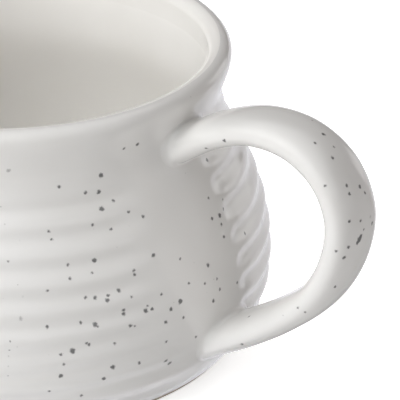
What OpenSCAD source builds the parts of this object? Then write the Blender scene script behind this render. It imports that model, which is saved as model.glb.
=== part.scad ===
// Ribbed stoneware soup mug with a pulled handle and a speckled outer glaze
// Z is up, the foot stands on z = 0, the body turns about Z and the handle points along +X

/* [Body] */
// Height from the table to the top of the lip
height = 80; // [76:1:92]
// Diameter over the rolled lip
rim_d = 120; // [116:1:128]
// How far the neck draws in under the lip, on the radius
neck_in = 2.5; // [1.5:0.1:3.5]
// Depth of the neck line below the lip's top
neck_drop = 13; // [11:0.5:15]
// Diameter at the widest line of the belly
belly_d = 141; // [134:1:148]
// Height of the widest line of the belly
belly_z = 22; // [18:1:26]
// Diameter of the foot ring
foot_d = 122; // [114:1:128]
// Angle at which the belly leaves the foot, from the table
foot_angle = 42; // [36:1:50]
// Thickness of the wall, glaze included
wall = 5; // [4:0.5:6]
// Thickness of the floor over the foot well, glaze included
floor_t = 6; // [5:0.5:8]
// Thickness of the rolled lip
lip_t = 6; // [5:0.5:7]
// Radius of the corner between wall and floor inside
corner_r = 16; // [10:1:20]

/* [Foot] */
// Width of the bare ring that the mug stands on
foot_w = 6; // [4:0.5:9]
// Depth of the well inside the foot ring
well_depth = 2; // [1.5:0.1:3]
// Height of the bare clay above the table
bare_h = 1.2; // [0.8:0.1:2]

/* [Ribs] */
// Height of one throwing rib
rib_pitch = 6.65; // [5.5:0.05:8]
// Depth of the crease between two ribs
rib_depth = 0.8; // [0.4:0.1:1.2]
// Height of the lowest crease
first_crease = 5.5; // [4.5:0.1:6.5]
// Half width of the wall left smooth behind the handle
smooth_half = 22; // [18:1:28]

/* [Handle] */
// How far the handle's centre line reaches out from the belly
handle_out = 35.2; // [30:1:44]
// Depth of the upper root's centre below the lip's top
upper_root_drop = 15; // [13:1:20]
// Height of the lower root's centre
lower_root_z = 15; // [13:1:20]
// Thickness of the handle towards the hand, glaze included
handle_t = 8.2; // [6:0.5:10]
// Width of the handle at its upper root, glaze included
handle_w_top = 15.6; // [13:0.5:18]
// Width of the handle at its lower root, glaze included
handle_w_low = 21; // [16:0.5:22]
// How far the slip fillet spreads at each root
slip_r = 3; // [2:0.5:4]

/* [Glaze] */
// Thickness of every glaze coat
glaze_t = 0.5; // [0.3:0.1:0.8]

/* [Hidden] */
$fn = 96;

// Radii and heights that the driving sizes give
rim_r = rim_d / 2;
neck_r = rim_r - neck_in;
neck_z = height - neck_drop;
belly_r = belly_d / 2;
foot_r = foot_d / 2;
lip_r = lip_t / 2;
lip_z = height - lip_r;
lip_c = rim_r - lip_r;
well_r = foot_r - foot_w;
floor_top = well_depth + floor_t;
smooth_angle = smooth_half / belly_r * 180 / PI;

// How far each curve of the wall pulls before it turns, as shares of the height it spans
foot_pull_share = 0.42;
belly_low_pull_share = 0.42;
belly_high_pull_share = 0.51;
neck_low_pull_share = 0.26;
collar_pull_share = 0.3;
curve_count = 10;
lip_turn_angle = 15;
corner_turn_angle = 10;

// A cubic curve from a to d, pulled by b and c
function bend(a, b, c, d, t) =
    pow(1 - t, 3) * a + 3 * pow(1 - t, 2) * t * b + 3 * (1 - t) * t * t * c + pow(t, 3) * d;
function bend_points(a, b, c, d, first) =
    [for (i = [first:curve_count]) bend(a, b, c, d, i / curve_count)];

// Crest line of the outer wall as [radius, height], from the foot to the side of the lip
foot_pull = foot_pull_share * belly_z;
shoulder = neck_z - belly_z;
collar_pull = collar_pull_share * (lip_z - neck_z);
crest_line = concat(
    bend_points([foot_r, 0],
                [foot_r + foot_pull * cos(foot_angle), foot_pull * sin(foot_angle)],
                [belly_r, belly_z * (1 - belly_low_pull_share)],
                [belly_r, belly_z], 0),
    bend_points([belly_r, belly_z],
                [belly_r, belly_z + shoulder * belly_high_pull_share],
                [neck_r, neck_z - shoulder * neck_low_pull_share],
                [neck_r, neck_z], 1),
    bend_points([neck_r, neck_z],
                [neck_r, neck_z + collar_pull],
                [rim_r, lip_z - collar_pull],
                [rim_r, lip_z], 1));

// Radius of a [radius, height] line at height z, and the same line moved in square to itself
function radius_at(line, z) = lookup(z, [for (p = line) [p[1], p[0]]]);
function unit(v) = v / norm(v);
function along(line, i) = unit(line[min(i + 1, len(line) - 1)] - line[max(i - 1, 0)]);
function moved_in(line, t) =
    [for (i = [0:len(line) - 1]) let (d = along(line, i)) line[i] + t * [-d[1], d[0]]];
clay_line = moved_in(crest_line, glaze_t);

// Ribs: even waves in the wall, one every rib_pitch from the first crease up to the neck
rib_part_count = 8;
rib_count = floor((neck_z - first_crease) / rib_pitch);
ribs_low = first_crease - rib_pitch / 2;
ribs_top = first_crease + rib_pitch * (rib_count - 0.5);
smooth_proud = glaze_t / 10;
function rib_cut(z) = z < ribs_low ? 0 : (1 + cos(360 * (z - first_crease) / rib_pitch)) / 2;

// The outside of the wall from height low up to the side of the lip, ribbed to a depth
function ribbed_point(line, z, depth) =
    [radius_at(line, z) - depth * rib_cut(z) - (depth > 0 ? smooth_proud : 0), z];
function outside(line, low, depth) =
    let (step = rib_pitch / rib_part_count, first = floor((low - first_crease) / step) + 1)
    concat(
        [ribbed_point(line, low, depth)],
        [for (i = [first:rib_part_count * (rib_count - 0.5)])
            ribbed_point(line, first_crease + i * step, depth)],
        [for (p = line) if (p[1] > ribs_top + step / 2 && p[1] < lip_z) p]);

// Part of the round over the lip, t under the finished surface
function lip_round(t, from, to) =
    [for (a = [from:lip_turn_angle:to]) [lip_c + (lip_r - t) * cos(a), lip_z + (lip_r - t) * sin(a)]];

// The inside of the wall from under the lip to the middle of the floor, t under the finished surface
function inside(t) =
    let (
        side = moved_in(crest_line, wall - t),
        base_z = floor_top - t,
        turn = corner_r + t,
        turn_x = radius_at(side, base_z + turn) - turn,
        wall_points = [for (i = [len(side) - 1:-1:0])
            if (side[i][1] <= (neck_z + lip_z) / 2 && side[i][1] > base_z + turn) side[i]]
    )
    concat(
        wall_points,
        [for (a = [0:corner_turn_angle:90]) [turn_x + turn * cos(a), base_z + turn - turn * sin(a)]],
        [[0, base_z]]);

function reversed(list) = [for (i = [len(list) - 1:-1:0]) list[i]];

// The mug's wall, floor and foot in section, as bare clay with no ribs yet
module clay_section() {
    polygon(concat(
        [[0, well_depth + glaze_t], [well_r, well_depth + glaze_t], [well_r, 0]],
        outside(clay_line, 0, 0),
        lip_round(glaze_t, 0, 180),
        inside(glaze_t)));
}

// What is cut off the smooth clay to leave the ribs, all round but behind the handle
module rib_cutter() {
    past = belly_r + wall;
    rotate([0, 0, smooth_angle]) rotate_extrude(angle = 360 - 2 * smooth_angle) polygon(concat(
        [[past, -wall], [radius_at(clay_line, 0) - smooth_proud, -wall]],
        [for (p = outside(clay_line, 0, rib_depth)) if (p[1] <= ribs_top) p],
        [[past, ribs_top]]));
}

// A coat of glaze in section, from the bare foot up to the crown of the lip
module coat_section(depth) {
    polygon(concat(
        outside(crest_line, bare_h, depth),
        lip_round(0, 0, 90),
        reversed(lip_round(glaze_t, 0, 90)),
        reversed(outside(clay_line, bare_h, depth))));
}

// The same coat, kept between two heights
module coat_between(low, high, depth) {
    intersection() {
        coat_section(depth);
        translate([0, low]) square([2 * belly_r, high - low]);
    }
}

// One turn about Z, ribbed all round but smooth behind the handle: children 0 and 1
module turned() {
    rotate([0, 0, smooth_angle]) rotate_extrude(angle = 360 - 2 * smooth_angle) children(0);
    rotate([0, 0, -smooth_angle]) rotate_extrude(angle = 2 * smooth_angle) children(1);
}

// The clay's outer shape with nothing hollowed out, which trims what is joined to it
module clay_core() {
    rotate_extrude() polygon(concat([[0, 0]], outside(clay_line, 0, 0), [[0, lip_z]]));
}

// Centre line of the handle: how far out from the line between the roots, and how far up between them
handle_shares = [
    [0.223, 1.13], [0.465, 1.205], [0.71, 1.185], [0.905, 1.06], [1, 0.85],
    [0.963, 0.615], [0.823, 0.405], [0.597, 0.25], [0.325, 0.12]];
upper_root_z = height - upper_root_drop;
root_rise = upper_root_z - lower_root_z;
upper_root = [radius_at(crest_line, upper_root_z), upper_root_z];
lower_root = [radius_at(crest_line, lower_root_z), lower_root_z];
handle_reach = max(belly_r, rim_r) + handle_out;
function between_roots(share) = lower_root[0] + (upper_root[0] - lower_root[0]) * min(share, 1);
stations = concat(
    [upper_root],
    [for (s = handle_shares) let (from = between_roots(s[1]))
        [from + s[0] * (handle_reach - from), lower_root_z + s[1] * root_rise]],
    [lower_root]);
spans = len(stations) - 1;

// A smooth curve through the stations, and its direction
function station(i) =
    i < 0 ? 2 * stations[0] - stations[1]
    : i > spans ? 2 * stations[spans] - stations[spans - 1]
    : stations[i];
function centre_at(s) =
    let (
        i = min(floor(s), spans - 1), t = s - i,
        a = station(i - 1), b = station(i), c = station(i + 1), d = station(i + 2)
    )
    b + t / 2 * (c - a + t * (2 * a - 5 * b + 4 * c - d + t * (3 * (b - c) + d - a)));
nudge = 0.01;
function heading_at(s) = unit(centre_at(min(s + nudge, spans)) - centre_at(max(s - nudge, 0)));

// The way up along the wall at height z, which the handle's ends lie along
function wall_up(z) =
    unit([radius_at(crest_line, z + slip_r) - radius_at(crest_line, z - slip_r), 2 * slip_r]);

// Rings of the handle: finer near the roots, with two more rings sunk in the wall at each end
root_count = 6;
span_count = 3;
sink = 2.6 * glaze_t + slip_r / 2;
turn_spans = 1.5;
places = concat(
    [for (i = [0:root_count - 1]) i / root_count],
    [for (i = [span_count:span_count * (spans - 1)]) i / span_count],
    [for (i = [1:root_count]) spans - 1 + i / root_count]);
sunk_count = 2;
last_ring = len(places) - 1;
joint_ring = root_count / 2;

// Direction across the ring in the handle's plane, laid over to the wall near a root
function ring_across(s) =
    let (
        heading = heading_at(s), square = [-heading[1], heading[0]],
        near_top = max(0, 1 - s / turn_spans), near_low = max(0, 1 - (spans - s) / turn_spans)
    )
    unit(square * (1 - near_top - near_low)
        + wall_up(upper_root_z) * near_top - wall_up(lower_root_z) * near_low);

// How far the slip fillet stands out of the handle at distance d from the wall
function fillet_at(d) =
    d >= slip_r ? 0
    : d <= 0 ? slip_r
    : slip_r - sqrt(slip_r * slip_r - pow(slip_r - d, 2));

side_count = 20;
oval_share = 0.83;
function oval(v) = sign(v) * pow(abs(v), oval_share);

// One ring, i from -sunk_count to last_ring + sunk_count, grown by a coat
function ring(i, grow) =
    let (
        s = places[min(max(i, 0), last_ring)],
        heading = heading_at(s), across = ring_across(s),
        sunk = max(-i, i - last_ring, 0) * sink / sunk_count * (i < 0 ? -1 : 1),
        out = i < 0 ? [wall_up(upper_root_z)[1], -wall_up(upper_root_z)[0]]
            : [-wall_up(lower_root_z)[1], wall_up(lower_root_z)[0]],
        centre = centre_at(s) + sunk * out,
        half_t = (handle_t / 2 - glaze_t) / abs(across * [-heading[1], heading[0]]),
        half_w = (handle_w_top + (handle_w_low - handle_w_top) * s / spans) / 2 - glaze_t
    )
    [for (j = [0:side_count - 1])
        let (
            x = oval(cos(360 * j / side_count)) * half_t, y = oval(sin(360 * j / side_count)) * half_w,
            plain = [centre[0] + across[0] * x, y, centre[1] + across[1] * x],
            d = norm([plain[0], plain[1]]) - radius_at(crest_line, plain[2]),
            reach = norm([x, y]), far = (reach + fillet_at(d) + grow) / reach
        )
        [centre[0] + across[0] * x * far, y * far, centre[1] + across[1] * x * far]];

function flat(lists) = [for (list = lists) for (p = list) p];
function band(low, high, out) =
    [for (j = [0:side_count - 1])
        let (k = (j + 1) % side_count)
        for (f = [[low + j, low + k, high + k], [low + j, high + k, high + j]]) out ? f : reversed(f)];

// The handle between two rings, closed with flat ends
module handle_form(from, to, grow) {
    count = to - from;
    points = flat([for (i = [from:to]) ring(i, grow)]);
    skin = flat([for (i = [0:count - 1]) band(i * side_count, (i + 1) * side_count, true)]);
    ends = [[for (j = [side_count - 1:-1:0]) j], [for (j = [0:side_count - 1]) count * side_count + j]];
    polyhedron(points = points, faces = concat(skin, ends));
}

// A coat over the whole handle, open at both ends
module handle_coat() {
    from = -sunk_count;
    to = last_ring + sunk_count;
    count = to - from;
    under = (count + 1) * side_count;
    points = concat(flat([for (i = [from:to]) ring(i, glaze_t)]), flat([for (i = [from:to]) ring(i, 0)]));
    skin = flat([for (i = [0:count - 1]) concat(
        band(i * side_count, (i + 1) * side_count, true),
        band(under + i * side_count, under + (i + 1) * side_count, false))]);
    ends = concat(band(0, under, false), band(count * side_count, under + count * side_count, true));
    polyhedron(points = points, faces = concat(skin, ends));
}

// The opening that a root leaves in the coat on the wall, cut square to the wall
module root_window(i, root) {
    up = wall_up(root[1]);
    half_cut = slip_r + glaze_t;
    rotate([0, atan2(up[0], up[1]), 0])
        translate([root[0] * up[1] - root[1] * up[0] - half_cut, 0, 0]) rotate([90, 0, 90])
        linear_extrude(2 * half_cut)
        polygon([for (p = ring(i, glaze_t)) [p[1], p[0] * up[0] + p[2] * up[1]]]);
}

module stoneware_body() {
    color("tan") difference() {
        rotate_extrude() clay_section();
        rib_cutter();
    }
}

module stoneware_handle() {
    color("tan") handle_form(joint_ring, last_ring - joint_ring, 0);
}

module upper_slip_joint() {
    color("wheat") difference() {
        handle_form(-sunk_count, joint_ring, 0);
        clay_core();
    }
}

module lower_slip_joint() {
    color("wheat") difference() {
        handle_form(last_ring - joint_ring, last_ring + sunk_count, 0);
        clay_core();
    }
}

module liner_glaze() {
    color("white") rotate_extrude() polygon(concat(
        lip_round(0, 90, 180),
        inside(0),
        reversed(inside(glaze_t)),
        reversed(lip_round(glaze_t, 90, 180))));
}

module outer_glaze() {
    color("ivory") difference() {
        union() {
            rotate_extrude() coat_between(ribs_top, height, 0);
            turned() {
                coat_between(0, ribs_top, rib_depth);
                coat_between(0, ribs_top, 0);
            }
        }
        root_window(-1, upper_root);
        root_window(last_ring + 1, lower_root);
    }
}

module handle_glaze() {
    color("ivory") difference() {
        handle_coat();
        clay_core();
    }
}

module foot_well_glaze() {
    color("ivory") translate([0, 0, well_depth]) cylinder(r = well_r, h = glaze_t);
}

stoneware_body();
stoneware_handle();
upper_slip_joint();
lower_slip_joint();
liner_glaze();
outer_glaze();
handle_glaze();
foot_well_glaze();
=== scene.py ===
# Speckled stoneware soup mug: fine glazed surfaces round the turned clay, and the light that it stands in
import bisect
import math

import bmesh
import bpy
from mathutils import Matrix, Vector, noise


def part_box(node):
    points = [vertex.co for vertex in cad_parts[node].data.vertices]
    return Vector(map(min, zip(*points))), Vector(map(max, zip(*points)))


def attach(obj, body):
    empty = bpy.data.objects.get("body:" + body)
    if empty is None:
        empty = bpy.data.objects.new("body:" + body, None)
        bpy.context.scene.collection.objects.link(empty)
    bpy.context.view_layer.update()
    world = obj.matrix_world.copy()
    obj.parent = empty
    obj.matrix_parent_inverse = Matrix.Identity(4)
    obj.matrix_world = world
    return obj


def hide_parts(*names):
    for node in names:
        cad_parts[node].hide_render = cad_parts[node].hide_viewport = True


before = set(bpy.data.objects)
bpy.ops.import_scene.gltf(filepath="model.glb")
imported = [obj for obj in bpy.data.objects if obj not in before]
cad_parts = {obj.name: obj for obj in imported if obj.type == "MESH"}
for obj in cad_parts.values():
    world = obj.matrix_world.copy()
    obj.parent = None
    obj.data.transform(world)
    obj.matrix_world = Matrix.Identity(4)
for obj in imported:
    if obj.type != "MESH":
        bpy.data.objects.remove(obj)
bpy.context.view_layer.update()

MM = 0.001

# How far the crest line of the belly lies outside the frame's box, in millimetres, because the ribs cut it
BELLY_SPARE = 0.1

# Sizes read from the frame, in millimetres
COAT_LOW, COAT_HIGH = (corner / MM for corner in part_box("outer_glaze"))
LINER_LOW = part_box("liner_glaze")[0] / MM
WELL_LOW, WELL_HIGH = (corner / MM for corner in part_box("foot_well_glaze"))
GLAZE = WELL_HIGH.z - WELL_LOW.z
HEIGHT = COAT_HIGH.z
BELLY_R = COAT_HIGH.y + BELLY_SPARE
BARE_H = COAT_LOW.z
WELL_R = WELL_HIGH.x
WELL_Z = WELL_LOW.z
FLOOR_Z = LINER_LOW.z + GLAZE

# Sizes of the turned wall, in millimetres, and how far its curves are pulled, as shares
RIM_R = 60.0
LIP_R = 3.0
NECK_R = 57.5
NECK_Z = HEIGHT - 13.0
BELLY_Z = 22.0
FOOT_R = 61.0
FOOT_ANGLE = math.radians(42)
FOOT_PULL_SHARE = 0.42
BELLY_LOW_SHARE = 0.58
BELLY_HIGH_SHARE = 0.51
SHOULDER_SHARE = 0.26
COLLAR_SHARE = 0.3
WALL = 5.0
CORNER_R = 16.0
NECK_INSIDE_R = 53.6
NECK_EASE = 1.6

# The bare foot and the edge of the glaze over it, in millimetres
FOOT_PROUD = 1.0
PROUD_FROM = 0.2
FOOT_CHAMFER = 0.4
FOOT_EASE = 0.12
FOOT_EDGE_H = 0.3
FOOT_EDGE = [Vector((-0.35, 0)), Vector((-0.1, 0.09))]
EDGE_BEAD = 0.22
EDGE_BEAD_UP = 0.45
FINE_H = 1.6

# The throwing ribs, in millimetres
RIB_PITCH = 6.65
RIB_DEPTH = 0.8
FIRST_CREASE = 5.5
RIB_COUNT = 9
LIP_Z = HEIGHT - LIP_R
LIP_C = RIM_R - LIP_R
RIBS_TOP = FIRST_CREASE + RIB_PITCH * (RIB_COUNT - 0.5)

# Sizes of the handle, in millimetres: its centre line runs from root to root
HANDLE_OUT = 35.2
UPPER_ROOT_Z = 65.0
LOWER_ROOT_Z = 15.0
HANDLE_T = 8.2
HANDLE_W_TOP = 15.6
HANDLE_W_LOW = 21.0
SLIP_R = 3.0
# How many stations the smoothed clay of a root reaches along the handle
JOINT_REACH = 0.9

# The handle's section is this power of a circle's sine and cosine: 1 is an ellipse, less is squarer
OVAL = 0.83
# Near each root it turns to lie along the wall, over so many stations. Past its end, each station more
# would carry it so many millimetres into the wall
ROOT_SPANS = 1.5
INTO_WALL = 10.0
# Stations of the centre line, as shares of the way out from the wall and of the way up between the roots
HANDLE_SHARES = [(0.223, 1.13), (0.465, 1.205), (0.71, 1.185), (0.905, 1.06), (1, 0.85),
                 (0.963, 0.615), (0.823, 0.405), (0.597, 0.25), (0.325, 0.12)]

# How finely the pieces are drawn. Steps round: the speckled coat, the body and liner, the well, the handle
ROUND_COAT = 360
ROUND_BODY = 240
ROUND_WELL = 180
ROUND_HANDLE = 96
# Steps in section: in each curve of the crest line, over the lip, under the coat there and on the clay,
# round the inside corner, and across the floor and the well
CREST_STEPS = 48
LIP_STEPS = 30
UNDER_LIP_STEPS = 6
CLAY_LIP_STEPS = 20
CORNER_STEPS = 24
FLOOR_STEPS = 12
WELL_STEPS = 6
# Steps up the wall in millimetres: on the coat, in the fine stretch at its edge, on the clay, and hidden
COAT_STEP = 0.5
FINE_STEP = 0.1
CLAY_STEP = 0.8
HIDDEN_STEP = 2.5
# Rows along the handle: in each root's fillet, between the roots, and in a joint past its fillet
FILLET_STEPS = 9
ROWS_ALONG = 100
JOINT_ROWS = 4
# An edge turning more than so many degrees is drawn sharp, and points nearer than so much are one
SHARP_ANGLE = 50
SAME_PLACE = 1e-4


def towards(turn, lift=0):
    """The direction that is so many degrees round from the handle and up from the table."""
    turn, lift = math.radians(turn), math.radians(lift)
    return Vector((math.cos(turn) * math.cos(lift), math.sin(turn) * math.cos(lift), math.sin(lift)))


def bend(a, b, c, d, t):
    """A cubic curve from a to d, pulled by b and c."""
    return (1 - t) ** 3 * a + 3 * (1 - t) ** 2 * t * b + 3 * (1 - t) * t * t * c + t ** 3 * d


def crest_line():
    """Crest line of the outer wall as (radius, height), from the foot to the side of the lip."""
    foot_pull = FOOT_PULL_SHARE * BELLY_Z
    shoulder = NECK_Z - BELLY_Z
    collar = COLLAR_SHARE * (LIP_Z - NECK_Z)
    curves = [
        [(FOOT_R, 0), (FOOT_R + foot_pull * math.cos(FOOT_ANGLE), foot_pull * math.sin(FOOT_ANGLE)),
         (BELLY_R, BELLY_LOW_SHARE * BELLY_Z), (BELLY_R, BELLY_Z)],
        [(BELLY_R, BELLY_Z), (BELLY_R, BELLY_Z + BELLY_HIGH_SHARE * shoulder),
         (NECK_R, NECK_Z - SHOULDER_SHARE * shoulder), (NECK_R, NECK_Z)],
        [(NECK_R, NECK_Z), (NECK_R, NECK_Z + collar), (RIM_R, LIP_Z - collar), (RIM_R, LIP_Z)]]
    line = [Vector(curves[0][0])]
    for curve in curves:
        line += [bend(*(Vector(p) for p in curve), i / CREST_STEPS) for i in range(1, CREST_STEPS + 1)]
    return line


CREST_LINE = crest_line()


def moved_in(line, depth):
    """The line moved towards the inside of the wall, square to itself."""
    moved = []
    for i, point in enumerate(line):
        along = (line[min(i + 1, len(line) - 1)] - line[max(i - 1, 0)]).normalized()
        moved.append(point + depth * Vector((-along.y, along.x)))
    return moved


def radius_at(line, z):
    """Radius of a rising line at height z."""
    high = min(max(bisect.bisect_left(line, z, key=lambda point: point.y), 1), len(line) - 1)
    a, b = line[high - 1], line[high]
    share = min(max((z - a.y) / max(b.y - a.y, 1e-6), 0.0), 1.0)
    return a.x + (b.x - a.x) * share


def rib_cut(z):
    """Depth of the wall under its crest line at height z, as a share of the crease's depth."""
    if not FIRST_CREASE - RIB_PITCH / 2 < z < RIBS_TOP:
        return 0.0
    return (1 + math.cos(math.tau * (z - FIRST_CREASE) / RIB_PITCH)) / 2


def smooth_step(low, high, value):
    """0 below low and 1 above high, smooth between them."""
    t = min(max((value - low) / (high - low), 0.0), 1.0)
    return t * t * (3 - 2 * t)


def arc(centre_x, centre_z, radius, first, last, steps):
    """Points on a circle, in degrees from the outward direction."""
    turns = [math.radians(first + (last - first) * i / steps) for i in range(steps + 1)]
    return [Vector((centre_x + radius * math.cos(a), centre_z + radius * math.sin(a))) for a in turns]


def wall_line(depth, low, step, fine_to=0.0):
    """Outside of the wall at a depth under the finished surface, sampled evenly up to the lip."""
    line = moved_in(CREST_LINE, depth)
    fine = max(round((fine_to - low) / FINE_STEP), 0)
    start = low + fine * FINE_STEP
    count = round((LIP_Z - start) / step)
    heights = [low + FINE_STEP * i for i in range(fine)]
    heights += [start + (LIP_Z - start) * i / count for i in range(count)]
    return [Vector((radius_at(line, z), z)) for z in heights]


def eased_max(a, b, ease):
    """The larger of two sizes, rounded over where they meet."""
    return (a + b + math.hypot(a - b, ease)) / 2


def to_middle(x, z, steps):
    """Points from a place to the middle, level with it."""
    return [Vector((x * (1 - i / steps), z)) for i in range(1, steps + 1)]


def inside_line(depth):
    """Inside of the wall from under the lip to the middle of the floor; the neck is wiped nearly straight."""
    side = [Vector((eased_max(p.x, NECK_INSIDE_R + depth, NECK_EASE), p.y))
            for p in moved_in(CREST_LINE, WALL - depth)]
    base = FLOOR_Z - depth
    turn = CORNER_R + depth
    turn_x = radius_at(side, base + turn) - turn
    wall = [p for p in reversed(side) if base + turn < p.y <= (NECK_Z + LIP_Z) / 2]
    corner = arc(turn_x, base + turn, turn, 0, -90, CORNER_STEPS)
    return wall + corner + to_middle(turn_x, base, FLOOR_STEPS)


def turned(name, outline, steps):
    """A ring or vessel turned about Z from its closed outline in section."""
    bm = bmesh.new()
    verts = [bm.verts.new((p.x, 0, p.y)) for p in outline]
    for a, b in zip(verts, verts[1:] + verts[:1]):
        bm.edges.new((a, b))
    bmesh.ops.spin(bm, geom=bm.verts[:] + bm.edges[:], axis=(0, 0, 1), angle=math.tau,
                   steps=steps, use_merge=True)
    bmesh.ops.remove_doubles(bm, verts=bm.verts, dist=SAME_PLACE)
    bmesh.ops.recalc_face_normals(bm, faces=bm.faces)
    return name, bm


def finished(name_and_mesh):
    """The finished piece, scaled from millimetres and smooth but for its real edges."""
    name, bm = name_and_mesh
    bmesh.ops.scale(bm, vec=(MM, MM, MM), verts=bm.verts)
    mesh = bpy.data.meshes.new(name)
    bm.to_mesh(mesh)
    bm.free()
    mesh.shade_smooth()
    mesh.set_sharp_from_angle(angle=math.radians(SHARP_ANGLE))
    piece = bpy.data.objects.new(name, mesh)
    bpy.context.scene.collection.objects.link(piece)
    return piece


# Where round from the handle the ribs are wiped away, in degrees: on its -Y side and on its +Y side.
# On the -Y side the wiped place is narrower low down, between these two heights in millimetres
WIPED_FROM = (-29.0, -15.0)
WIPED_TO = (4.0, 9.0)
WIPED_LESS = 9.0
WIPED_LOW = (14.0, 30.0)

# How the ribs climb near the lower root: by how much, between which heights in millimetres, from which
# turns and back to none at which turns, in degrees round from the handle. They also sway by hand
RIB_CLIMB = 1.3
CLIMB_HEIGHTS = (22, 38)
CLIMB_FROM = (-50, -22)
CLIMB_BACK = (0, 20)
RIB_SWAY = 0.25
SWAY_LENGTH = 25


def rib_share(turn, z):
    """How much of the rib is left, turn degrees round from the handle: none behind it."""
    narrow = WIPED_LESS * (1 - smooth_step(*WIPED_LOW, z))
    wiped = smooth_step(*WIPED_FROM, turn - narrow) * (1 - smooth_step(*WIPED_TO, turn))
    return 1 - wiped


def rib_depth(x, y, z):
    """How deep the ribs go under the crest line at a place on the wall; they climb near the lower root."""
    turn = math.degrees(math.atan2(y, x))
    climb = RIB_CLIMB * smooth_step(*CLIMB_FROM, turn) * (1 - smooth_step(*CLIMB_BACK, turn))
    climb *= 1 - smooth_step(*CLIMB_HEIGHTS, z)
    sway = RIB_SWAY * noise.noise(Vector((x, y, z)) / SWAY_LENGTH)
    return RIB_DEPTH * rib_cut(z - climb + sway) * rib_share(turn, z)


def wall_radius(x, y, z):
    """Radius of the glazed wall, ribs and all."""
    return radius_at(CREST_LINE, z) - rib_depth(x, y, z)


def pushed_in(bm, chosen):
    """Presses the ribs into the chosen points of a turned wall."""
    for vert in bm.verts:
        x, y, z = vert.co
        radius = math.hypot(x, y)
        if chosen(radius, z):
            share = 1 - rib_depth(x, y, z) / radius
            vert.co.x *= share
            vert.co.y *= share


def ribbed_wall():
    """The speckled coat: bare foot line to the crown of the lip, ribbed by hand."""
    outside = wall_line(0, BARE_H, COAT_STEP, BARE_H + FINE_H) + arc(LIP_C, LIP_Z, LIP_R, 0, 90, LIP_STEPS)
    for point in outside:
        point.x += EDGE_BEAD * math.exp(-((point.y - BARE_H - EDGE_BEAD_UP) / EDGE_BEAD_UP) ** 2)
    under = wall_line(GLAZE, BARE_H, HIDDEN_STEP) + arc(LIP_C, LIP_Z, LIP_R - GLAZE, 0, 90, UNDER_LIP_STEPS)
    name, bm = turned("speckled_outer_coat", outside + under[::-1], ROUND_COAT)
    pushed_in(bm, lambda radius, z: z < RIBS_TOP + RIB_SWAY)
    return finished((name, bm))


def liner():
    """The plain white coat inside, from the crown of the lip to the floor."""
    outside = arc(LIP_C, LIP_Z, LIP_R, 90, 180, LIP_STEPS) + inside_line(0)
    under = arc(LIP_C, LIP_Z, LIP_R - GLAZE, 90, 180, LIP_STEPS) + inside_line(GLAZE)
    return finished(turned("white_liner_coat", outside + under[::-1], ROUND_BODY))


def clay_body():
    """The fired clay: wall, floor and foot, seen only where the foot ring is bare."""
    foot = [Vector((0, WELL_Z + GLAZE)), Vector((WELL_R, WELL_Z + GLAZE)), Vector((WELL_R, FOOT_CHAMFER)),
            Vector((WELL_R + FOOT_EASE, FOOT_EASE)), Vector((WELL_R + FOOT_CHAMFER, 0))]
    side = wall_line(GLAZE, FOOT_EDGE_H, CLAY_STEP, BARE_H + FOOT_CHAMFER)
    for point in side:
        point.x += FOOT_PROUD * (1 - smooth_step(PROUD_FROM, BARE_H + PROUD_FROM, point.y))
    bottom = [Vector((side[0].x, 0)) + point for point in FOOT_EDGE]
    lip = arc(LIP_C, LIP_Z, LIP_R - GLAZE, 0, 180, CLAY_LIP_STEPS)
    outline = foot + bottom + side + lip + inside_line(GLAZE)
    name, bm = turned("turned_clay_body", outline, ROUND_BODY)
    pushed_in(bm, lambda radius, z: (BARE_H < z < RIBS_TOP + RIB_SWAY
                                     and radius > radius_at(CREST_LINE, z) - 2 * GLAZE))
    return finished((name, bm))


def well_coat():
    """The thin coat in the well under the floor."""
    flat = WELL_R - FOOT_CHAMFER
    outline = [Vector((0, WELL_Z + GLAZE)), Vector((WELL_R, WELL_Z + GLAZE)),
               Vector((WELL_R, WELL_Z + FOOT_CHAMFER / 2)), Vector((flat, WELL_Z))]
    outline += to_middle(flat, WELL_Z, WELL_STEPS)
    return finished(turned("foot_well_coat", outline, ROUND_WELL))


ROOTS = [Vector((radius_at(CREST_LINE, z), z)) for z in (UPPER_ROOT_Z, LOWER_ROOT_Z)]


def handle_station(out, up):
    """A point of the centre line, from its shares of the way out from the wall and up between the roots."""
    start = ROOTS[1] + (ROOTS[0] - ROOTS[1]) * min(up, 1)
    return Vector((start.x + out * (BELLY_R + HANDLE_OUT - start.x),
                   LOWER_ROOT_Z + up * (UPPER_ROOT_Z - LOWER_ROOT_Z)))


STATIONS = [ROOTS[0]] + [handle_station(out, up) for out, up in HANDLE_SHARES] + [ROOTS[1]]
SPANS = len(STATIONS) - 1


def station(i):
    """The stations, carried on by one past each end."""
    if i < 0:
        return 2 * STATIONS[0] - STATIONS[1]
    if i > SPANS:
        return 2 * STATIONS[-1] - STATIONS[-2]
    return STATIONS[i]


def centre_at(s):
    """The handle's centre line through its stations."""
    i = min(int(s), SPANS - 1)
    t = s - i
    a, b, c, d = (station(i + k) for k in (-1, 0, 1, 2))
    return b + t / 2 * (c - a + t * (2 * a - 5 * b + 4 * c - d + t * (3 * (b - c) + d - a)))


def heading_at(s, reach=0.01):
    """The direction of the centre line."""
    return (centre_at(min(s + reach, SPANS)) - centre_at(max(s - reach, 0))).normalized()


def wall_up(z):
    """The way up along the wall near a root, in section."""
    lean = radius_at(CREST_LINE, z + SLIP_R) - radius_at(CREST_LINE, z - SLIP_R)
    return Vector((lean, 2 * SLIP_R)).normalized()


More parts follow.
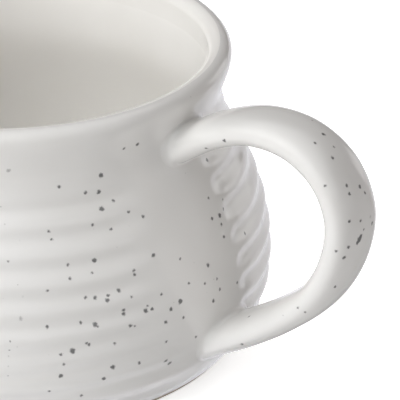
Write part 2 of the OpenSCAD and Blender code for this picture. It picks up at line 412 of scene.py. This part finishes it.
def plain_point(s, turn, inset=0.0):
    """A point on the handle with no fillet, and the way outwards there: s runs along it in stations."""
    inside = max(-s, s - SPANS, 0.0)
    along = min(max(s, 0.0), SPANS)
    heading = heading_at(along)
    square = Vector((-heading.y, heading.x))
    near_top = max(0.0, 1 - along / ROOT_SPANS)
    near_low = max(0.0, 1 - (SPANS - along) / ROOT_SPANS)
    across = square * (1 - near_top - near_low)
    across += wall_up(UPPER_ROOT_Z) * near_top - wall_up(LOWER_ROOT_Z) * near_low
    across.normalize()
    centre = centre_at(along)
    if inside:
        up = wall_up(UPPER_ROOT_Z if s < 0 else LOWER_ROOT_Z)
        centre = centre + inside * INTO_WALL * Vector((-up.y, up.x))
    half_t = (HANDLE_T / 2 - inset) / abs(across.dot(square))
    half_w = (HANDLE_W_TOP + (HANDLE_W_LOW - HANDLE_W_TOP) * along / SPANS) / 2 - inset
    cosine, sine = math.cos(turn), math.sin(turn)
    x = math.copysign(abs(cosine) ** OVAL, cosine) * half_t
    y = math.copysign(abs(sine) ** OVAL, sine) * half_w
    out = Vector((across.x * x, y, across.y * x))
    return Vector((centre.x, 0, centre.y)) + out, out.normalized()


def above_wall(point):
    """How far a point stands out from the crest line."""
    return math.hypot(point.x, point.y) - radius_at(CREST_LINE, point.z)


# Between which stations, counted from a root, the wall's height is looked for, and in how many halvings
SEARCH_IN = 0.6
SEARCH_OUT = 2.2
SEARCH_STEPS = 24


def where_above(turn, height, end, inset=0.0):
    """How far along the handle its surface is a height above the wall, near one end."""
    low, high = ((-SEARCH_IN, SEARCH_OUT), (SPANS + SEARCH_IN, SPANS - SEARCH_OUT))[end]
    for _ in range(SEARCH_STEPS):
        middle = (low + high) / 2
        if above_wall(plain_point(middle, turn, inset)[0]) < height:
            low = middle
        else:
            high = middle
    return (low + high) / 2


# How far the slip spreads at each root, in millimetres: its mean, and how much more at ring angle 0
SPREADS = ((1.9, 1.2), (1.5, -0.5))
# How far the last row of a root reaches into the handle's own clay and under the wall, in millimetres
ROOT_IN = 0.7
ROOT_UNDER = 0.35


def spread_at(turn, end):
    """How far the slip spreads at a ring angle."""
    mean, more = SPREADS[end]
    return mean + more * math.cos(turn)


def rooted_point(turn, step, end, inset=0.0):
    """A point on the fillet round a root: step 0 is on the wall and the last step is on the handle."""
    spread = spread_at(turn, end)
    turn_up = math.pi / 2 * max(step, 0) / FILLET_STEPS
    height = spread * (1 - math.cos(turn_up)) - inset
    place, out = plain_point(where_above(turn, height, end, inset), turn, inset)
    point = place + out * (spread * (1 - math.sin(turn_up)) - min(step, 0) * ROOT_IN)
    radius = wall_radius(*point) + height + ROOT_UNDER * min(step, 0)
    share = radius / math.hypot(point.x, point.y)
    return Vector((point.x * share, point.y * share, point.z))


def tube(name, rows, place):
    """A closed tube whose rows of points stand where place(row, ring angle) says."""
    bm = bmesh.new()
    line = [bm.verts.new((1, 0, i)) for i in range(rows)]
    for a, b in zip(line, line[1:]):
        bm.edges.new((a, b))
    bmesh.ops.spin(bm, geom=bm.verts[:] + bm.edges[:], axis=(0, 0, 1), angle=math.tau,
                   steps=ROUND_HANDLE, use_merge=True)
    for vert in bm.verts:
        vert.co = place(round(vert.co.z), math.atan2(vert.co.y, vert.co.x))
    bmesh.ops.holes_fill(bm, edges=[e for e in bm.edges if e.is_boundary])
    bmesh.ops.recalc_face_normals(bm, faces=bm.faces)
    return finished((name, bm))


def handle():
    """The glazed handle with its two smoothed roots, as one tube drawn along the centre line."""
    rooted = FILLET_STEPS + 2
    rows = 2 * rooted + ROWS_ALONG - 1
    limits = {}

    def place(row, turn):
        if row < rooted:
            return rooted_point(turn, row - 1, 0)
        if row >= rows - rooted:
            return rooted_point(turn, rows - 2 - row, 1)
        side = round(turn / math.tau * ROUND_HANDLE) % ROUND_HANDLE
        if side not in limits:
            limits[side] = [where_above(turn, spread_at(turn, end), end) for end in (0, 1)]
        first, last = limits[side]
        return plain_point(first + (last - first) * (row - rooted + 1) / ROWS_ALONG, turn)[0]

    return tube("speckled_handle_coat", rows, place)


def slip_joint(name, end):
    """The smoothed clay between the wall and the handle's end, one glaze coat under the surface."""
    joint_s = (JOINT_REACH, SPANS - JOINT_REACH)[end]
    rooted = FILLET_STEPS + 2

    def place(row, turn):
        if row < rooted:
            return rooted_point(turn, row - 1, end, GLAZE)
        first = where_above(turn, spread_at(turn, end) - GLAZE, end, GLAZE)
        return plain_point(first + (joint_s - first) * (row - rooted + 1) / JOINT_ROWS, turn, GLAZE)[0]

    return tube(name, rooted + JOINT_ROWS, place)


class Value:
    """A shader socket that Python's operators work on."""

    def __init__(self, tree, socket):
        self.tree = tree
        self.socket = socket

    def _maths(self, operation, *inputs):
        return self.tree.node("ShaderNodeMath", {"operation": operation}, dict(enumerate(inputs)))

    def __add__(self, other):
        return self._maths("ADD", self, other)

    def __sub__(self, other):
        return self._maths("SUBTRACT", self, other)

    def __rsub__(self, other):
        return self._maths("SUBTRACT", other, self)

    def __mul__(self, other):
        return self._maths("MULTIPLY", self, other)

    def __truediv__(self, other):
        return self._maths("DIVIDE", self, other)

    __radd__ = __add__
    __rmul__ = __mul__


class Nodes:
    """A node tree that is filled by method calls."""

    def __init__(self, tree):
        self.nodes = tree.nodes
        self.links = tree.links

    def node(self, kind, settings=None, inputs=None, output=0):
        """One node: its settings are set first, then its sockets by name or number."""
        node = self.nodes.new(kind)
        for key, value in (settings or {}).items():
            setattr(node, key, value)
        for key, value in (inputs or {}).items():
            self.put(node.inputs[key], value)
        return Value(self, node.outputs[output])

    def put(self, socket, value):
        """Links a value to a socket, or sets the socket to a plain one."""
        if isinstance(value, Value):
            self.links.new(value.socket, socket)
        else:
            socket.default_value = value

    def between(self, low, high, value):
        """0 below low and 1 above high, smooth between them."""
        return self.node("ShaderNodeMapRange", {"interpolation_type": "SMOOTHSTEP"},
                         {"Value": value, "From Min": low, "From Max": high})

    def larger(self, a, b):
        """The larger of two values."""
        return self.node("ShaderNodeMath", {"operation": "MAXIMUM"}, {0: a, 1: b})

    def vector(self, operation, *inputs, output=0):
        """A vector's maths; output 1 is a plain number, such as a length."""
        return self.node("ShaderNodeVectorMath", {"operation": operation}, dict(enumerate(inputs)), output)

    def along(self, vector, direction):
        """How far a vector reaches in a direction."""
        return self.vector("DOT_PRODUCT", vector, tuple(direction), output=1)

    def mixed(self, share, a, b):
        """The colour a, and the colour b where the share is 1."""
        return self.node("ShaderNodeMix", {"data_type": "RGBA"}, {0: share, 6: a, 7: b}, 2)

    def either(self, share, a, b):
        """The shader a, and the shader b where the share is 1."""
        return self.node("ShaderNodeMixShader", None, {0: share, 1: a, 2: b})

    def ray_is(self, kind):
        """1 for a kind of ray, such as "Is Camera Ray"."""
        return self.node("ShaderNodeLightPath", None, None, kind)

    def show(self, output, shader):
        """Links a shader to the tree's output."""
        self.put(self.nodes[output].inputs[0], shader)


class Finish(Nodes):
    """A material built from nodes."""

    def __init__(self, name):
        self.material = bpy.data.materials.new(name)
        self.material.use_nodes = True
        super().__init__(self.material.node_tree)
        self.shader = self.nodes["Principled BSDF"]

    def set(self, **sockets):
        """Puts values on the shader's sockets, whose names have _ for a space."""
        for key, value in sockets.items():
            self.put(self.shader.inputs[key.replace("_", " ")], value)

    def surface(self):
        """The shader itself."""
        return Value(self, self.shader.outputs[0])

    def place(self):
        """The place on the object."""
        return self.node("ShaderNodeTexCoord", output=3)

    def clouds(self, scale, detail, place, output=0):
        """Soft random shades, so many to a metre."""
        return self.node("ShaderNodeTexNoise", None,
                         {"Vector": place, "Scale": scale, "Detail": detail}, output)

    def cloudy(self, scale, place, tones):
        """Two tones that lie in soft clouds."""
        return self.mixed(self.between(*CLOUD_EDGE, self.clouds(scale, CLOUD_DETAIL, place)), *tones)

    def relief(self, height, strength, distance):
        """Feeds a height to the surface as a fine relief, its distance in metres."""
        self.set(Normal=self.node("ShaderNodeBump", None,
                                  {"Height": height, "Strength": strength, "Distance": distance}))


# How much a grey's red rises and its blue falls with its warmth
WARM_RED = 0.6
WARM_BLUE = 1.4


def grey(level, warmth):
    """A colour in linear light with red above blue by the warmth."""
    return (level * (1 + warmth * WARM_RED), level, level * (1 - warmth * WARM_BLUE), 1)


PLAIN_WHITE = (1, 1, 1, 1)
# Colours in linear light: two tones of each coat and of the clay, the iron in the glaze, the clay's grains
SPECKLED_TONES = (grey(0.70, 0.018), grey(0.73, 0.012))
WHITE_TONES = (grey(0.84, 0.026), grey(0.87, 0.022))
CLAY_TONES = ((0.42, 0.36, 0.28, 1), (0.56, 0.5, 0.41, 1))
IRON = grey(0.15, 0.0)
GRAINS = (0.2, 0.16, 0.12, 1)
SPECKLED_ROUGH = 0.12
SPECKLED_IOR = 1.55
WHITE_ROUGH = 0.14
CLAY_ROUGH = 0.85
# Where a cloud of tone begins and is full, how fine its edge is, and how many clouds go to a metre
CLOUD_EDGE = (0.3, 0.7)
CLOUD_DETAIL = 3.0
SPECKLED_CLOUDS = 20
WHITE_CLOUDS = 25
# The grain of the dry clay, and where it is dark and light
GRAIN_CLOUDS = 1400
GRAIN_EDGE = (0.35, 0.65)
# Faint waves in the glaze, so many to a metre, and drawn-out streaks among them: how much they are drawn
# out, and how strong they are beside the waves
SPECKLED_WAVES = 90
WHITE_WAVES = 80
STREAKS = 45
STREAK_DRAW = (1, 1, 14)
STREAK_SHARE = 0.22
WAVE_DETAIL = 2.0
# Reliefs: strength, and depth in metres
SPECKLED_RELIEF = (0.06, 0.001)
WHITE_RELIEF = (0.05, 0.001)
CLAY_RELIEF = (0.4, 0.0002)

# Scattered specks: the width of the cells in millimetres, the largest radius, and which share of the cells
# has one. How dark each kind is follows, where 1 is all iron
FINE_SPECKS = (2.9, 0.36, 0.5)
COARSE_SPECKS = (3.7, 0.78, 0.75)
DUST_SPECKS = (2.4, 0.17, 0.4)
CLAY_SPECKS = (1.6, 0.22, 0.4)
FINE_DARK = 0.8
COARSE_DARK = 0.9
DUST_DARK = 0.35
CLAY_DARK = 0.6
# They lie in drifts: so many to a metre, their edges, and which share stands outside a drift
DRIFTS = 38
DRIFT_EDGE = (0.42, 0.62)
FINE_LEFT = 0.3
COARSE_LEFT = 0.2
# Where the drifts begin and are full, in millimetres from the planes through the mug's middle: away from the
# picture's right, away from the camera, and on the far side of the handle
RIGHT_EDGE = (2, 6)
CAMERA_EDGE = (-3, 3)
FAR_EDGE = (1, 4)
# The smallest speck beside the largest, and how soft the edge is beside the largest
SMALLEST = 0.25
SPECK_SOFT = 0.35
# How sharply the cells with a speck are told from those without
LOT_EDGE = 0.01
# How ragged the specks are: bumps to a metre, and the sway in millimetres of scattered and of placed ones
RAGGED = 1500
SCATTERED_SWAY = 0.6
PLACED_SWAY = 0.7
# How much wider placed specks are drawn than they are given, and where their edge begins and ends
PLACED_MORE = 0.09
PLACED_EDGE = (-0.26, 0.24)

# The larger iron specks near the handle, listed one by one at their places in the photograph.
# On the wall: degrees round from the handle, height and radius in millimetres
WALL_SPECKS = [
    (-28, 65, 0.5), (-39, 64, 0.35), (-29, 61, 0.4), (-32.5, 61.5, 0.3), (-29, 57, 0.5),
    (-25.5, 58, 0.25), (-32, 54, 0.3), (-27.5, 52, 0.3), (-22.5, 55, 0.25), (-19, 53, 0.3),
    (-42.5, 54, 0.3), (-42, 52, 0.25), (-33, 46, 0.45), (-39, 46, 0.2), (-39, 43, 0.3), (-34, 43.5, 0.2),
    (-24.5, 42, 0.28), (-24.5, 41, 0.3), (-44, 41, 0.25), (-36, 38, 0.33), (-34, 37.5, 0.42),
    (-31.5, 36.5, 0.42), (-31, 37.5, 0.25), (-28.5, 38, 0.4), (-26, 36, 0.25), (-28, 33, 0.38),
    (-28, 32, 0.36), (-23, 31.5, 0.45), (-21.5, 31.5, 0.3), (-22.5, 32.5, 0.2), (-37.5, 32, 0.28),
    (-34.5, 31, 0.5), (-34, 30.5, 0.22), (-44.5, 32, 0.35), (-27, 29, 0.33), (-26, 28.5, 0.22),
    (-36.5, 26.5, 0.26), (-36, 26, 0.26), (-30.5, 25, 0.25), (-39.5, 25, 0.55), (-42, 24.5, 0.22),
    (-41.5, 22, 0.28), (-42, 18.5, 0.36), (-44.5, 14.5, 0.3), (-31, 18.5, 0.45), (-33, 16, 0.38),
    (-25, 18, 0.28), (-37.5, 11.5, 0.25), (-18, 71, 0.36), (-22, 71, 0.3), (8, 57.5, 0.45),
    (2, 50.5, 0.22), (6, 46, 0.33), (3.5, 45.5, 0.5), (0.5, 46, 0.33), (3, 43.5, 0.28), (2.5, 40.5, 0.33),
    (7, 48, 0.2), (-19, 44, 0.43), (-12.5, 41, 0.2), (-5, 36.5, 0.38), (-3, 32, 0.22), (-7, 32.5, 0.26),
    (-11.5, 34.5, 0.2), (-2.5, 29, 0.26), (-5, 27, 0.4), (4, 27.5, 0.25), (-14.5, 31, 0.58),
    (-17, 30, 0.38), (-19, 34.5, 0.25), (-18.5, 27, 0.36), (-14, 26.5, 0.2), (-18.5, 21.5, 0.28),
    (-18.5, 16, 0.42), (-17, 14.5, 0.5), (-10.5, 19.5, 0.26), (-7.5, 16, 0.25), (11.5, 37, 0.28)]
# On the handle: stations from the upper root, degrees round its section, and radius in millimetres
HANDLE_SPECKS = [
    (3.3, 8, 0.4), (3.35, -17, 0.27), (3.6, 3, 0.2), (3.75, -12, 0.3), (4.3, -17, 0.25), (4.45, -18, 0.3),
    (4.45, 5, 0.33), (4.6, 12, 0.32), (4.1, -66, 0.2), (4.9, -35, 0.3), (5, -8, 0.3), (5.2, 20, 0.35),
    (5.2, -2, 0.2), (5.3, -8, 0.55), (5.34, -11, 0.8), (5.38, -14, 0.6), (5.4, -38, 0.33),
    (5.6, -45, 0.4), (5.45, -72, 0.27), (6.3, -40, 0.3), (7.15, -93, 0.22), (7.1, -72, 0.2),
    (8.9, -152, 0.25), (1.5, -100, 0.35), (0.95, -120, 0.28), (9, -72, 0.3)]


def on_wall(turn, z):
    """The place on the wall at a turn from the handle and a height."""
    across = towards(turn)
    crest = across * radius_at(CREST_LINE, z)
    return across * wall_radius(crest.x, crest.y, z) + Vector((0, 0, z))


def on_handle(along, turn):
    """The place on the handle, so many stations from its upper root and so far round its section."""
    return plain_point(along, math.radians(turn))[0]


def uneven(finish, place, sway):
    """The place swayed a little, so that a round speck gets a ragged edge."""
    wobble = finish.vector("SUBTRACT", finish.clouds(RAGGED, 1.0, place, 1), (0.5,) * 3)
    return finish.vector("MULTIPLY_ADD", wobble, (sway * MM,) * 3, place)


def placed_specks(finish, place, known):
    """Specks in their own places: 1 inside them, soft at the edge."""
    shifted = uneven(finish, place, PLACED_SWAY)
    inside = -1.0
    for centre, radius in known:
        away = finish.vector("DISTANCE", shifted, tuple(centre * MM), output=1)
        inside = finish.larger((radius + PLACED_MORE) * MM - away, inside)
    return finish.between(PLACED_EDGE[0] * MM, PLACED_EDGE[1] * MM, inside)


def specks(finish, place, apart, largest, share):
    """Round-ish specks: a share of cells so far apart has one each, of its own size, in millimetres."""
    scale = 1 / (apart * MM)
    cells = {"Vector": uneven(finish, place, SCATTERED_SWAY), "Scale": scale, "Randomness": 1.0}
    distance = finish.node("ShaderNodeTexVoronoi", None, cells, 0)
    tint = finish.node("ShaderNodeTexVoronoi", None, cells, 1)
    lot = finish.node("ShaderNodeSeparateColor", None, {0: tint}, 0)
    size = finish.node("ShaderNodeSeparateColor", None, {0: tint}, 1)
    there = finish.between(1 - share, 1 - share + LOT_EDGE, lot)
    reach = (size * size * (1 - SMALLEST) + SMALLEST) * (largest * MM * scale)
    inside = finish.between(SPECK_SOFT, -SPECK_SOFT, (distance - reach) / (largest * MM * scale))
    return there * inside


def past(finish, place, direction, near, far):
    """1 past a plane across the direction, in millimetres from the origin."""
    return finish.between(near * MM, far * MM, finish.along(place, direction))


def wall_drifts(finish, place):
    """Where the wall's specks lie in drifts: round its back and on the side away from the handle."""
    to_right = past(finish, place, towards(HANDLE_TURN), *RIGHT_EDGE)
    to_camera = past(finish, place, towards(HANDLE_TURN - 90), *CAMERA_EDGE)
    return 1 - to_right * to_camera


def handle_drifts(finish, place):
    """Where the handle's specks lie in drifts: on its far side."""
    return past(finish, place, towards(90), *FAR_EDGE)


def speckled_glaze(name, known=None, drifts=None):
    """Glossy off-white glaze with grey iron specks: some in their own places, the rest in loose drifts."""
    finish = Finish(name)
    place = finish.place()
    drift = finish.between(*DRIFT_EDGE, finish.clouds(DRIFTS, 1.0, place))
    fine = specks(finish, place, *FINE_SPECKS) * (drift * (1 - FINE_LEFT) + FINE_LEFT)
    coarse = specks(finish, place, *COARSE_SPECKS) * (drift * (1 - COARSE_LEFT) + COARSE_LEFT)
    mask = finish.larger(fine * FINE_DARK, coarse * COARSE_DARK)
    if known:
        mask = finish.larger(mask * drifts(finish, place), placed_specks(finish, place, known))
    mask = finish.larger(mask, specks(finish, place, *DUST_SPECKS) * DUST_DARK)
    tone = finish.cloudy(SPECKLED_CLOUDS, place, SPECKLED_TONES)
    finish.set(Base_Color=finish.mixed(mask, tone, IRON), Roughness=SPECKLED_ROUGH, IOR=SPECKLED_IOR)
    waves = finish.clouds(SPECKLED_WAVES, WAVE_DETAIL, place)
    streaks = finish.clouds(STREAKS, WAVE_DETAIL, finish.vector("MULTIPLY", place, STREAK_DRAW))
    finish.relief(waves + streaks * STREAK_SHARE, *SPECKLED_RELIEF)
    return finish.material


def white_glaze():
    """Glossy warm white glaze without specks."""
    finish = Finish("white_glaze")
    place = finish.place()
    finish.set(Base_Color=finish.cloudy(WHITE_CLOUDS, place, WHITE_TONES), Roughness=WHITE_ROUGH)
    finish.relief(finish.clouds(WHITE_WAVES, WAVE_DETAIL, place), *WHITE_RELIEF)
    return finish.material


def bare_stoneware():
    """Fine dry clay, buff with a few darker grains."""
    finish = Finish("bare_stoneware")
    place = finish.place()
    grain = finish.clouds(GRAIN_CLOUDS, CLOUD_DETAIL, place)
    tone = finish.mixed(finish.between(*GRAIN_EDGE, grain), *CLAY_TONES)
    dots = specks(finish, place, *CLAY_SPECKS) * CLAY_DARK
    finish.set(Base_Color=finish.mixed(dots, tone, GRAINS), Roughness=CLAY_ROUGH)
    finish.relief(grain, *CLAY_RELIEF)
    return finish.material


def dress(piece, slot, material, *nodes):
    """Gives a piece its material and body, and hides the frame's parts that it stands for. The slot is not
    used.
    """
    piece.data.materials.clear()
    piece.data.materials.append(material)
    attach(piece, "root")
    if nodes:
        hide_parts(*nodes)


# How far the handle is turned towards the camera from the picture's right, in degrees
HANDLE_TURN = 37
# The camera, placed as the photograph was taken: in millimetres and degrees
CAMERA_OUT = 800.4
CAMERA_UP = 411.3
CAMERA_PAN = 3.715
CAMERA_TILT = 25.258
# Its focal length and the picture's width in pixels, and the sensor's width in millimetres
FOCAL_PIXELS = 3374.5
IMAGE_PIXELS = 400
SENSOR = 36
# How far it sees, in metres
CAMERA_REACH = 20


def set_camera():
    """The camera, set where the photograph was taken from."""
    data = bpy.data.cameras.new("camera")
    data.sensor_width = SENSOR
    data.lens = SENSOR * FOCAL_PIXELS / IMAGE_PIXELS
    data.clip_end = CAMERA_REACH
    camera = bpy.data.objects.new("camera", data)
    camera.location = (towards(HANDLE_TURN - 90) * CAMERA_OUT + Vector((0, 0, CAMERA_UP))) * MM
    forward = towards(90 - CAMERA_PAN + HANDLE_TURN, -CAMERA_TILT)
    camera.rotation_euler = forward.to_track_quat("-Z", "Y").to_euler()
    bpy.context.scene.collection.objects.link(camera)
    bpy.context.scene.camera = camera


# The floor: half its width in millimetres, its tone and roughness
FLOOR_SIZE = 4000
FLOOR_TONE = (0.9, 0.9, 0.9, 1)
FLOOR_ROUGH = 0.9
# Its glow to the camera under the mug and far off, and between which distances it rises, in metres
GLOW_NEAR = 0.6
GLOW_FAR = 1.0
GLOW_REACH = (0.2, 0.9)
# Its two brightnesses as the glaze mirrors it, and half the width of the edge between them, in metres
DIM_TABLE = (0.3, 0.3, 0.3, 1)
LIT_TABLE = (0.92, 0.92, 0.97, 1)
LIT_SOFT = 0.003
# It is lit beyond either of these lines: a point on each, in metres, and its turn in degrees
LIT_EDGES = [((0.0680, 0.0100), 70), ((0.0775, 0.0584), 84.4)]


def floor():
    """Plain pale floor, white to the camera; in reflections it is bright behind the mug and dim in front."""
    bm = bmesh.new()
    bmesh.ops.create_grid(bm, x_segments=1, y_segments=1, size=FLOOR_SIZE)
    sheet = finished(("floor", bm))
    finish = Finish("floor_white")
    finish.set(Base_Color=FLOOR_TONE, Roughness=FLOOR_ROUGH)
    place = finish.place()
    lit = 0.0
    for point, turn in LIT_EDGES:
        square = towards(turn + 90)
        past_line = finish.along(place, square) - square.dot(Vector((*point, 0)))
        lit = finish.larger(lit, finish.between(-LIT_SOFT, LIT_SOFT, past_line))
    sheen = finish.node("ShaderNodeEmission", None, {0: finish.mixed(lit, DIM_TABLE, LIT_TABLE)})
    away = finish.vector("LENGTH", place, output=1)
    rise = finish.between(*GLOW_REACH, away) * (GLOW_FAR - GLOW_NEAR) + GLOW_NEAR
    glow = finish.node("ShaderNodeEmission", None, {0: PLAIN_WHITE, 1: rise})
    seen = finish.node("ShaderNodeAddShader", None, {0: glow, 1: finish.surface()})
    plain = finish.either(finish.ray_is("Is Glossy Ray"), finish.surface(), sheen)
    finish.show("Material Output", finish.either(finish.ray_is("Is Camera Ray"), plain, seen))
    sheet.data.materials.append(finish.material)


# The soft panels: their width and their distance from the mug, in metres
PANEL = 0.6
PANEL_OUT = 1.2
NEUTRAL = (1, 1, 1)
ROSY = (1.05, 1.0, 0.985)
# Soft key from the left front and above, side and low front fills, and low light from behind and from the
# right: turn from the camera's side and lift above the table in degrees, power in watts, and colour
PANELS = {
    "key_panel": (45, 50, 5.1, NEUTRAL),
    "side_panel": (90, 50, 4.8, NEUTRAL),
    "low_front_panel": (45, 15, 5.6, NEUTRAL),
    "low_camera_panel": (0, 15, 1.0, NEUTRAL),
    "right_panel": (315, 15, 1.6, ROSY),
    "low_right_panel": (250, 3, 3.9, ROSY),
    "right_back_panel": (230, 50, 2.3, ROSY),
    "low_back_panel": (180, 15, 7.0, ROSY)}


def soft_light(name, turn, lift, power, colour):
    """A soft square panel that looks at the mug, and that neither the camera nor the glaze sees."""
    data = bpy.data.lights.new(name, "AREA")
    data.shape = "SQUARE"
    data.size = PANEL
    data.energy = power
    data.color = colour
    lamp = bpy.data.objects.new(name, data)
    lamp.location = towards(HANDLE_TURN - 90 - turn, lift) * PANEL_OUT
    lamp.rotation_euler = (-lamp.location).to_track_quat("-Z", "Y").to_euler()
    lamp.visible_glossy = False
    lamp.visible_camera = False
    bpy.context.scene.collection.objects.link(lamp)


# What the glaze mirrors of the room, and how bright each part of it is beside white. Heights are sines of
# the angle above the table, and turns are degrees round from the handle
CEILING = 2.0
CEILING_UP = (0.6, 0.95)
# The key card: its turn and lift, and how many degrees from its middle it begins and is full
CARD = 1.3
CARD_MIDDLE = (-106, 44)
CARD_EDGE = (48, 8)
# The middle height of the room, between two heights and on the camera's side
MIDDLE = 1.3
MIDDLE_UP = (0.2, 0.4)
MIDDLE_DOWN = (0.95, 0.6)
MIDDLE_FACE = (-60, 20)
MIDDLE_EDGE = (0.1, 0.6)
# The low walls on the side away from this turn
WALLS = 0.5
WALLS_DOWN = (0.5, 0.1)
WALLS_FACE = 135
WALLS_EDGE = (0.0, -0.05)
# The white board on the right, from one turn to the other
BOARD = 1.5
BOARD_DOWN = (0.36, 0.16)
BOARD_FROM = 66
BOARD_TO = 88
BOARD_FROM_EDGE = (-0.012, 0.012)
BOARD_TO_EDGE = (-0.07, 0.07)
# The light of the room on all that isn't mirrored
ROOM_LIGHT = 0.02


def studio():
    """Dim room, with a pale ceiling, a key card, grey walls and a white board on the right in reflections."""
    world = bpy.data.worlds.new("studio")
    world.use_nodes = True
    room = Nodes(world.node_tree)
    ray = room.node("ShaderNodeTexCoord")

    def facing(edge, turn, lift=0):
        return room.between(*edge, room.along(ray, towards(turn, lift)))

    def background(strength):
        return room.node("ShaderNodeBackground", None, {0: PLAIN_WHITE, 1: strength})

    up = room.along(ray, (0, 0, 1))
    ceiling = room.between(*CEILING_UP, up)
    card = facing([math.cos(math.radians(edge)) for edge in CARD_EDGE], *CARD_MIDDLE)
    middle = room.between(*MIDDLE_UP, up) * room.between(*MIDDLE_DOWN, up)
    middle = middle * facing(MIDDLE_EDGE, *MIDDLE_FACE)
    walls = room.between(*WALLS_DOWN, up) * facing(WALLS_EDGE, WALLS_FACE)
    board = room.between(*BOARD_DOWN, up) * facing(BOARD_FROM_EDGE, BOARD_FROM + 90)
    board = board * facing(BOARD_TO_EDGE, BOARD_TO - 90)
    light = ceiling * CEILING + card * CARD + middle * MIDDLE + walls * WALLS + board * BOARD
    mirrored = room.either(room.ray_is("Is Glossy Ray"), background(ROOM_LIGHT), background(light))
    room.show("World Output", room.either(room.ray_is("Is Camera Ray"), mirrored, background(1.0)))
    bpy.context.scene.world = world


ON_WALL = [(on_wall(turn, z), radius) for turn, z, radius in WALL_SPECKS]
ON_HANDLE = [(on_handle(along, turn), radius) for along, turn, radius in HANDLE_SPECKS]
WALL_GLAZE = speckled_glaze("speckled_wall_glaze", ON_WALL, wall_drifts)
HANDLE_GLAZE = speckled_glaze("speckled_handle_glaze", ON_HANDLE, handle_drifts)
WELL_GLAZE = speckled_glaze("speckled_well_glaze")
WHITE = white_glaze()
CLAY = bare_stoneware()
dress(ribbed_wall(), "speckled_glaze", WALL_GLAZE, "outer_glaze")
dress(handle(), "speckled_glaze", HANDLE_GLAZE, "handle_glaze")
dress(slip_joint("upper_slip_collar", 0), "slip", CLAY, "upper_slip_joint")
dress(slip_joint("lower_slip_collar", 1), "slip", CLAY, "lower_slip_joint")
dress(liner(), "liner_glaze", WHITE, "liner_glaze")
dress(clay_body(), "stoneware", CLAY, "stoneware_body")
dress(well_coat(), "speckled_glaze", WELL_GLAZE, "foot_well_glaze")

# The handle's own clay lies under the glaze and stays as the frame has it
handle_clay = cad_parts["stoneware_handle"]
handle_clay.data.materials.clear()
handle_clay.data.materials.append(CLAY)

set_camera()
floor()
for panel, (turn, lift, power, colour) in PANELS.items():
    soft_light(panel, turn, lift, power, colour)
studio()
bpy.context.scene.view_settings.view_transform = "Standard"
